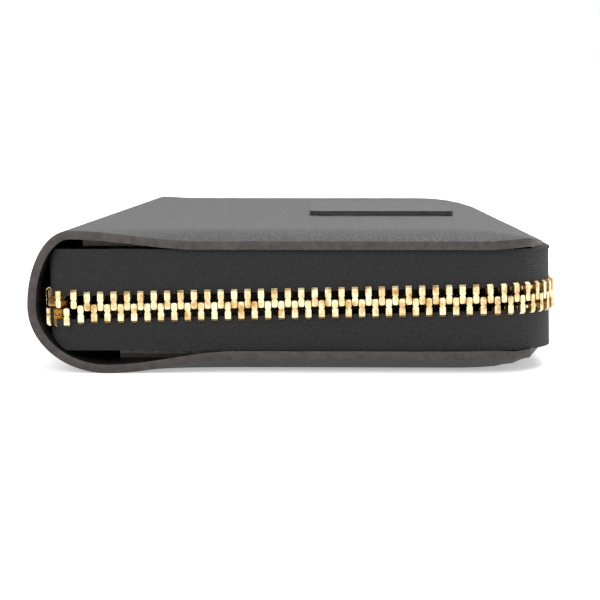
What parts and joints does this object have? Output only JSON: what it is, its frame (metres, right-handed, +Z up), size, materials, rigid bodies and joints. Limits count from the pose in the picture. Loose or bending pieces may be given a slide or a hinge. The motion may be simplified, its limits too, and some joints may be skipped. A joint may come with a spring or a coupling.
{
  "type": "zip around wallet",
  "caption": "Long leather wallet closed on three sides by a metal zip, with card rows and a zipped coin pocket inside.",
  "frame": {"origin": "middle of the flat face the closed wallet rests on", "axes": "+X from the folded spine to the zip's long side, +Y along the spine to the end where the slider stops, +Z up"},
  "size_m": [0.1, 0.193, 0.0277],
  "materials": {
    "black_leather": "fine pebble grain, semi-matt",
    "black_fabric": "plain woven lining",
    "padding": "thin felt wadding",
    "board": "pressed board",
    "zip_tape": "herringbone zip tape",
    "brass": "polished brass"
  },
  "bodies": {
    "back_half": {"cover_back": "black_leather", "cover_spine": "black_leather", "spine_lining": "black_fabric", "lining_back": "black_fabric", "board_back": "board", "padding_back": "padding", "zip_teeth_lower": "brass", "zip_teeth_lower_slider_run": "brass", "zip_tape_lower": "zip_tape", "top_stop_lower": "brass", "gusset_near": "black_leather", "gusset_far": "black_leather", "back_card_row_1": "black_leather", "back_card_row_2": "black_leather", "back_card_row_3": "black_leather", "back_card_row_4": "black_leather"},
    "front_half": {"cover_front": "black_leather", "top_patch": "black_leather", "lining_front": "black_fabric", "board_front": "board", "padding_front": "padding", "zip_teeth_upper": "brass", "zip_teeth_upper_slider_run": "brass", "zip_tape_upper": "zip_tape", "top_stop_upper": "brass", "front_card_row_1": "black_leather", "front_card_row_2": "black_leather", "front_card_row_3": "black_leather", "front_card_row_4": "black_leather"},
    "coin_pocket": {"coin_wall_back": "black_leather", "coin_wall_front": "black_leather", "coin_pocket_binding": "black_leather", "coin_tape_front": "zip_tape", "coin_tape_back": "zip_tape", "coin_zip_teeth": "brass", "coin_zip_stops": "brass"},
    "zip_slider": {"zip_slider": "brass", "zip_slider_bail": "brass"},
    "zip_puller": {"zip_puller": "brass"},
    "coin_slider": {"coin_slider": "brass", "coin_slider_bail": "brass"},
    "coin_puller": {"coin_puller": "brass"}
  },
  "joints": [
    {"name": "cover_fold", "type": "hinge", "parent": "back_half", "child": "front_half", "pos_m": [-0.05, 0, 0.01205], "axis": [0, -1, 0], "range_deg": [0, 90], "deforming": ["cover_spine", "spine_lining", "gusset_near", "gusset_far"]},
    {"name": "coin_pocket_fold", "type": "hinge", "parent": "back_half", "child": "coin_pocket", "pos_m": [-0.05, 0, 0.01205], "axis": [0, -1, 0], "range_deg": [0, 45]},
    {"name": "zip_slide", "type": "slide", "parent": "back_half", "child": "zip_slider", "axis": [0.9998, 0, 0.021], "range_m": [0, 0.06], "deforming": ["zip_teeth_upper_slider_run", "zip_teeth_lower_slider_run"]},
    {"name": "puller_swing", "type": "hinge", "parent": "zip_slider", "child": "zip_puller", "pos_m": [-0.033, 0.09662, 0.01241], "axis": [-0.021, 0, 0.9998], "range_deg": [0, 165]},
    {"name": "coin_slide", "type": "slide", "parent": "coin_pocket", "child": "coin_slider", "axis": [0, -1, 0], "range_m": [0, 0.14], "deforming": ["coin_zip_teeth"]},
    {"name": "coin_puller_swing", "type": "hinge", "parent": "coin_slider", "child": "coin_puller", "pos_m": [0.03172, 0.068, 0.0137], "axis": [0, 0, 1], "range_deg": [0, 165]}
  ],
  "couplings": [
    {"joint": "coin_pocket_fold", "follows": "cover_fold", "ratio": 0.5}
  ]
}
